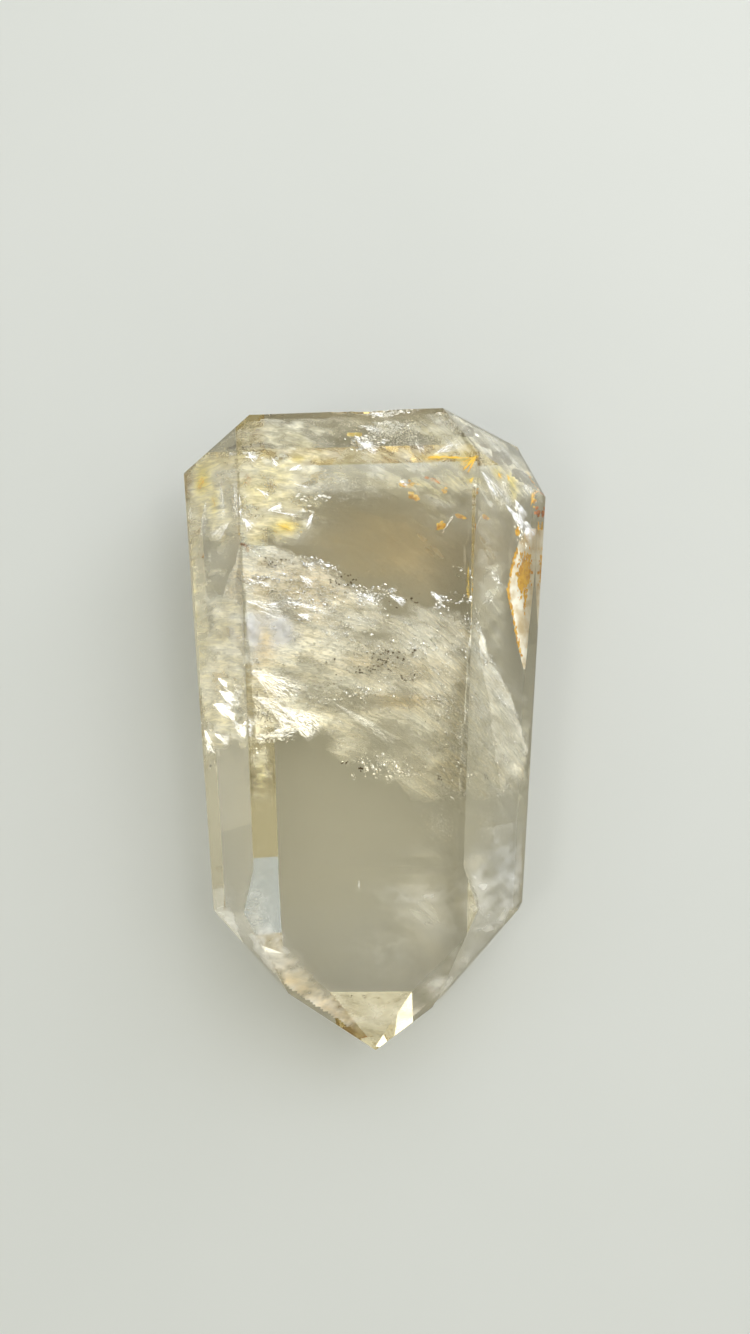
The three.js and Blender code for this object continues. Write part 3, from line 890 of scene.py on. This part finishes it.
# Faint clouds: thin haze deep in the clear body, golden towards the base end, and a milky
# breath just under the faces of the tip. Both are made of very fine gas pockets, and the
# tip's breath is also painted light: it brightens the tip where light led through the stone
# brightens the paper under it.
# Milk and gold: X, Y, half width, half height, weight.
HAZE_HEIGHT = 11.0
DEEP_MILK = [(2.0, 33.0, 15.0, 9.0, 0.26), (12.0, 29.0, 6.0, 9.0, 0.25),
             (10.0, -22.0, 4.0, 8.0, 0.22), (10.5, -17.4, 4.0, 1.6, 0.12),
             (4.0, -19.0, 5.0, 1.6, 0.12), (7.0, -23.5, 6.0, 3.0, 0.12),
             (2.0, -29.0, 8.0, 3.5, 0.1), (6.0, -35.0, 6.0, 3.0, 0.1),
             (12.0, -2.0, 8.0, 12.0, 0.12), (12.0, -29.0, 4.0, 6.0, 0.12)]
DEEP_GOLD = [(3.0, 32.0, 17.0, 11.0, 0.7), (6.0, -35.0, 8.0, 5.0, 0.3)]
# Under the tip the milk is partly painted light, a brightening for light led through the stone.
TIP_MILK_AND_PAINTED_LIGHT = [(-15.8, -24.0, 2.2, 5.0, 0.35), (-14.8, -30.0, 2.2, 2.2, 0.9),
            (-13.0, -33.2, 2.2, 2.2, 1.3), (-10.4, -37.0, 2.4, 2.4, 1.4),
            (-6.2, -41.3, 2.4, 2.4, 1.3), (-3.0, -43.6, 2.0, 1.6, 0.7), (7.5, -42.0, 2.6, 2.0, 0.5),
            (12.2, -37.4, 2.4, 2.0, 0.5), (15.2, -33.5, 2.0, 2.0, 0.3),
            (17.0, -23.0, 1.6, 6.0, 0.3), (22.0, -20.0, 4.0, 10.0, 0.2),
            (-21.0, -28.0, 2.0, 5.0, 0.6), (20.5, -29.0, 3.5, 4.0, 0.25),
            (9.0, -22.0, 6.0, 6.0, 0.1), (1.5, -42.0, 4.0, 2.6, 0.35), (5.0, -31.0, 7.0, 5.0, 0.14),
            (8.0, -22.0, 8.0, 1.6, 0.12)]
TIP_GOLD = [(-10.4, -37.0, 5.0, 5.0, 0.32), (-4.0, -42.6, 4.0, 3.0, 0.35),
            (9.0, -41.0, 5.0, 4.0, 0.25)]

# Faint haze: pockets so fine and few that they only pale what lies behind them. Under the
# tip's faces it is also painted light that brightens them.
haze_and_painted_light = milky_film("gas_haze_and_painted_light", "#FFFEFA", "#F8F3E4", "#EDC050", 2.6, 0.65, 1.0, 0.15)
film_sheet("deep_haze", (-18, -42), (20, 42), 0.6,
           lambda spots: np.column_stack([spots, np.full(len(spots), HAZE_HEIGHT)]),
           lambda spots: np.clip(spread(spots, DEEP_MILK), 0, 1),
           lambda spots: np.clip(spread(spots, DEEP_GOLD), 0, 1), haze_and_painted_light)
# The tip's haze: faint real haze, and painted light that brightens the tip's faces.
film_sheet("tip_haze_and_painted_light", (-26, -50), (26, -12), 0.4, under_skin, haze_of(TIP_MILK_AND_PAINTED_LIGHT, 2.0),
           haze_of(TIP_GOLD, 3.0), haze_and_painted_light)


# Lone cracks and faint wisps: small flat gas films, and sparse milky pockets, in the clear
# parts of the stone. The wisps by the tip's lower left face are also painted light that
# brightens it. X, Y, Z, half length, half width, heading, number.
LONE_CRACKS = [(11.8, 27.7, 35.0, 1.3, 0.06, 3, 24), (7.4, 25.3, 33.6, 0.7, 0.07, -60, 14),
               (7.4, 25.3, 33.6, 0.4, 0.07, 35, 8), (3.5, 25.6, 33.6, 0.4, 0.6, -30, 8),
               (12.9, 33.9, 24.0, 1.1, 0.1, 58, 20), (6.0, 39.8, 24.0, 0.7, 0.5, 0, 24),
               (-0.6, -20.3, 26.2, 0.7, 0.04, 90, 10), (16.6, 26.0, 22.0, 2.4, 0.8, -30, 40),
               (15.8, 22.6, 22.0, 1.2, 0.8, 0, 26), (19.5, 36.0, 16.0, 1.6, 0.12, -60, 16)]
WISPS_AND_PAINTED_LIGHT = [(-16.5, -26.0, 20.0, 1.4, 4.0, 10, 900), (12.0, -12.0, 8.0, 3.0, 2.0, -40, 500),
         (-2.0, 38.5, 30.0, 5.0, 2.2, 0, 600)]
spots, ways = strewn(LONE_CRACKS, 0.05)
size = rng.uniform(0.15, 0.4, len(spots))
lay_flakes("lone_cracks", spots, ways, gleaming(spots, 0.08), size * 2.0, size * 0.7, 6, mirror_films)
# Faint wisps of milky pockets; by the tip's lower left face they are also painted light.
spots, ways = strewn(WISPS_AND_PAINTED_LIGHT, 0.3)
size = rng.uniform(0.1, 0.2, len(spots))
lay_flakes("faint_wisps_and_painted_light", spots, ways + rng.normal(0, 30, len(spots)), gleaming(spots, 0.25),
           size * 1.6, size, 3, milky_pockets)
